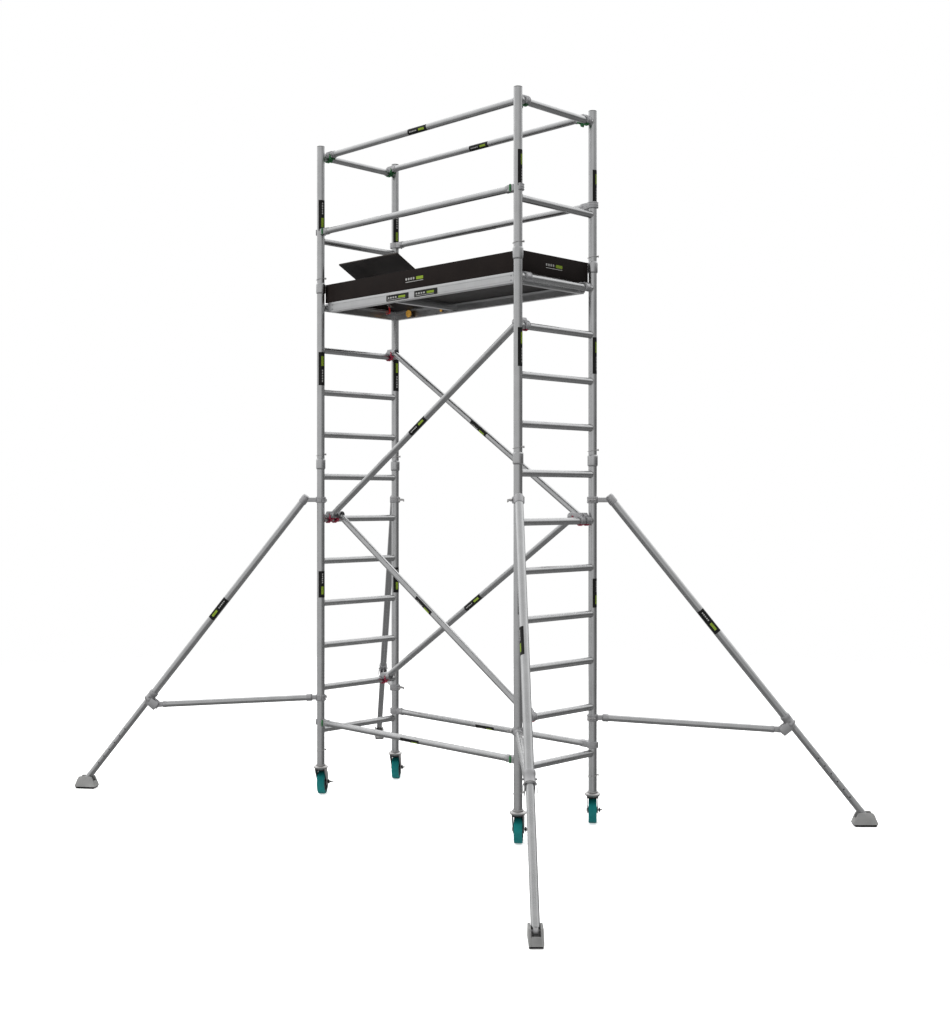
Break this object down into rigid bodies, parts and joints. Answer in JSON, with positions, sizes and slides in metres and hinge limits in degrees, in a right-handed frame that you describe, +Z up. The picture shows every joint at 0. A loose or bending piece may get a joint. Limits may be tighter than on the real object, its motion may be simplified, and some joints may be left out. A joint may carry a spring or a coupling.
{
  "type": "mobile tower scaffold",
  "caption": "Narrow rolling work tower with ladder ends, hook-on braces, hatch platform, guardrails, toe boards and telescopic stabilizers on braked castors.",
  "frame": {"origin": "middle of the whole footprint, stabilizer feet included, on the floor", "axes": "+X along the tower from the hatch end to the other end, +Y across it to the back, +Z up"},
  "size_m": [4.428, 3.1014, 4.31],
  "materials": {
    "aluminium_tube": "extruded, satin",
    "platform_aluminium": "extruded, satin",
    "zinc_plate": "zinc plated",
    "deck_board": "black film-faced plywood",
    "toe_board": "black film-faced board, edges sealed",
    "teal_wheel": "polyurethane tread",
    "black_plastic": "moulded",
    "foot_grey": "moulded",
    "red_plastic": "moulded"
  },
  "bodies": {
    "tower": {"lower_frame_left": "aluminium_tube", "upper_frame_left": "aluminium_tube", "guard_frame_left": "aluminium_tube", "lower_frame_right": "aluminium_tube", "upper_frame_right": "aluminium_tube", "guard_frame_right": "aluminium_tube", "horizontal_brace_front": "aluminium_tube", "mid_guardrail_front": "aluminium_tube", "top_guardrail_front": "aluminium_tube", "diagonal_brace_front_upper": "aluminium_tube", "diagonal_brace_front_lower": "aluminium_tube", "horizontal_brace_back": "aluminium_tube", "mid_guardrail_back": "aluminium_tube", "top_guardrail_back": "aluminium_tube", "diagonal_brace_back_upper": "aluminium_tube", "diagonal_brace_back_lower": "aluminium_tube", "platform_frame": "platform_aluminium", "platform_deck": "deck_board", "toe_board_front": "toe_board", "toe_board_back": "toe_board", "toe_board_left": "toe_board", "toe_board_right": "toe_board", "castor_stem_front_right": "zinc_plate", "castor_stem_back_right": "zinc_plate", "castor_stem_front_left": "zinc_plate", "castor_stem_back_left": "zinc_plate"},
    "trapdoor": {"trapdoor": "deck_board"},
    "trapdoor_latch": {"trapdoor_latch": "red_plastic"},
    "castor_front_right": {"castor_fork_front_right": "zinc_plate"},
    "wheel_front_right": {"castor_wheel_front_right": "teal_wheel"},
    "brake_front_right": {"castor_brake_front_right": "black_plastic"},
    "castor_back_right": {"castor_fork_back_right": "zinc_plate"},
    "wheel_back_right": {"castor_wheel_back_right": "teal_wheel"},
    "brake_back_right": {"castor_brake_back_right": "black_plastic"},
    "castor_front_left": {"castor_fork_front_left": "zinc_plate"},
    "wheel_front_left": {"castor_wheel_front_left": "teal_wheel"},
    "brake_front_left": {"castor_brake_front_left": "black_plastic"},
    "castor_back_left": {"castor_fork_back_left": "zinc_plate"},
    "wheel_back_left": {"castor_wheel_back_left": "teal_wheel"},
    "brake_back_left": {"castor_brake_back_left": "black_plastic"},
    "stabilizer_front_right": {"stabilizer_outer_front_right": "aluminium_tube", "stabilizer_arm_front_right": "aluminium_tube"},
    "leg_front_right": {"stabilizer_inner_front_right": "aluminium_tube"},
    "foot_front_right": {"stabilizer_foot_front_right": "foot_grey"},
    "stabilizer_back_right": {"stabilizer_outer_back_right": "aluminium_tube", "stabilizer_arm_back_right": "aluminium_tube"},
    "leg_back_right": {"stabilizer_inner_back_right": "aluminium_tube"},
    "foot_back_right": {"stabilizer_foot_back_right": "foot_grey"},
    "stabilizer_front_left": {"stabilizer_outer_front_left": "aluminium_tube", "stabilizer_arm_front_left": "aluminium_tube"},
    "leg_front_left": {"stabilizer_inner_front_left": "aluminium_tube"},
    "foot_front_left": {"stabilizer_foot_front_left": "foot_grey"},
    "stabilizer_back_left": {"stabilizer_outer_back_left": "aluminium_tube", "stabilizer_arm_back_left": "aluminium_tube"},
    "leg_back_left": {"stabilizer_inner_back_left": "aluminium_tube"},
    "foot_back_left": {"stabilizer_foot_back_left": "foot_grey"}
  },
  "joints": [
    {"name": "trapdoor_hinge", "type": "hinge", "parent": "tower", "child": "trapdoor", "pos_m": [-0.47069, 0.27, 3.272], "axis": [-1, 0, 0], "range_deg": [-28.5, 61.5]},
    {"name": "trapdoor_latch_pivot", "type": "hinge", "parent": "trapdoor", "child": "trapdoor_latch", "pos_m": [-0.73669, 0.19934, 3.28647], "axis": [1, 0, 0], "range_deg": [-25, 25]},
    {"name": "castor_swivel_front_right", "type": "hinge", "parent": "tower", "child": "castor_front_right", "pos_m": [0.96431, -0.33, 0.18], "axis": [0, 0, 1], "continuous": true},
    {"name": "wheel_spin_front_right", "type": "hinge", "parent": "castor_front_right", "child": "wheel_front_right", "pos_m": [0.92574, -0.28404, 0.08], "axis": [-0.766, -0.6428, 0], "continuous": true},
    {"name": "brake_lever_front_right", "type": "hinge", "parent": "castor_front_right", "child": "brake_front_right", "pos_m": [0.92574, -0.28404, 0.08], "axis": [0.766, 0.6428, 0], "range_deg": [0, 30]},
    {"name": "castor_swivel_back_right", "type": "hinge", "parent": "tower", "child": "castor_back_right", "pos_m": [0.96431, 0.33, 0.18], "axis": [0, 0, 1], "continuous": true},
    {"name": "wheel_spin_back_right", "type": "hinge", "parent": "castor_back_right", "child": "wheel_back_right", "pos_m": [0.92574, 0.37596, 0.08], "axis": [-0.766, -0.6428, 0], "continuous": true},
    {"name": "brake_lever_back_right", "type": "hinge", "parent": "castor_back_right", "child": "brake_back_right", "pos_m": [0.92574, 0.37596, 0.08], "axis": [0.766, 0.6428, 0], "range_deg": [0, 30]},
    {"name": "castor_swivel_front_left", "type": "hinge", "parent": "tower", "child": "castor_front_left", "pos_m": [-0.82569, -0.33, 0.18], "axis": [0, 0, 1], "continuous": true},
    {"name": "wheel_spin_front_left", "type": "hinge", "parent": "castor_front_left", "child": "wheel_front_left", "pos_m": [-0.86426, -0.28404, 0.08], "axis": [-0.766, -0.6428, 0], "continuous": true},
    {"name": "brake_lever_front_left", "type": "hinge", "parent": "castor_front_left", "child": "brake_front_left", "pos_m": [-0.86426, -0.28404, 0.08], "axis": [0.766, 0.6428, 0], "range_deg": [0, 30]},
    {"name": "castor_swivel_back_left", "type": "hinge", "parent": "tower", "child": "castor_back_left", "pos_m": [-0.82569, 0.33, 0.18], "axis": [0, 0, 1], "continuous": true},
    {"name": "wheel_spin_back_left", "type": "hinge", "parent": "castor_back_left", "child": "wheel_back_left", "pos_m": [-0.86426, 0.37596, 0.08], "axis": [-0.766, -0.6428, 0], "continuous": true},
    {"name": "brake_lever_back_left", "type": "hinge", "parent": "castor_back_left", "child": "brake_back_left", "pos_m": [-0.86426, 0.37596, 0.08], "axis": [0.766, 0.6428, 0], "range_deg": [0, 30]},
    {"name": "stabilizer_swing_front_right", "type": "hinge", "parent": "tower", "child": "stabilizer_front_right", "pos_m": [0.96431, -0.33, 1.963], "axis": [0, 0, 1], "range_deg": [-45, 45]},
    {"name": "leg_slide_front_right", "type": "slide", "parent": "stabilizer_front_right", "child": "leg_front_right", "axis": [-0.4471, 0.4363, 0.7809], "range_m": [0, 0.55]},
    {"name": "foot_tilt_front_right", "type": "hinge", "parent": "leg_front_right", "child": "foot_front_right", "pos_m": [2.1359, -1.47331, 0.05975], "axis": [0.6984, 0.7157, 0], "range_deg": [-25, 25]},
    {"name": "stabilizer_swing_back_right", "type": "hinge", "parent": "tower", "child": "stabilizer_back_right", "pos_m": [0.96431, 0.33, 1.963], "axis": [0, 0, 1], "range_deg": [-45, 45]},
    {"name": "leg_slide_back_right", "type": "slide", "parent": "stabilizer_back_right", "child": "leg_back_right", "axis": [-0.4471, -0.4363, 0.7809], "range_m": [0, 0.55]},
    {"name": "foot_tilt_back_right", "type": "hinge", "parent": "leg_back_right", "child": "foot_back_right", "pos_m": [2.1359, 1.47331, 0.05975], "axis": [-0.6984, 0.7157, 0], "range_deg": [-25, 25]},
    {"name": "stabilizer_swing_front_left", "type": "hinge", "parent": "tower", "child": "stabilizer_front_left", "pos_m": [-0.82569, -0.33, 1.963], "axis": [0, 0, 1], "range_deg": [-45, 45]},
    {"name": "leg_slide_front_left", "type": "slide", "parent": "stabilizer_front_left", "child": "leg_front_left", "axis": [0.4989, 0.376, 0.7809], "range_m": [0, 0.55]},
    {"name": "foot_tilt_front_left", "type": "hinge", "parent": "leg_front_left", "child": "foot_front_left", "pos_m": [-2.13306, -1.31517, 0.05975], "axis": [0.6018, -0.7986, 0], "range_deg": [-25, 25]},
    {"name": "stabilizer_swing_back_left", "type": "hinge", "parent": "tower", "child": "stabilizer_back_left", "pos_m": [-0.82569, 0.33, 1.963], "axis": [0, 0, 1], "range_deg": [-45, 45]},
    {"name": "leg_slide_back_left", "type": "slide", "parent": "stabilizer_back_left", "child": "leg_back_left", "axis": [0.4989, -0.376, 0.7809], "range_m": [0, 0.55]},
    {"name": "foot_tilt_back_left", "type": "hinge", "parent": "leg_back_left", "child": "foot_back_left", "pos_m": [-2.13306, 1.31517, 0.05975], "axis": [-0.6018, -0.7986, 0], "range_deg": [-25, 25]}
  ]
}
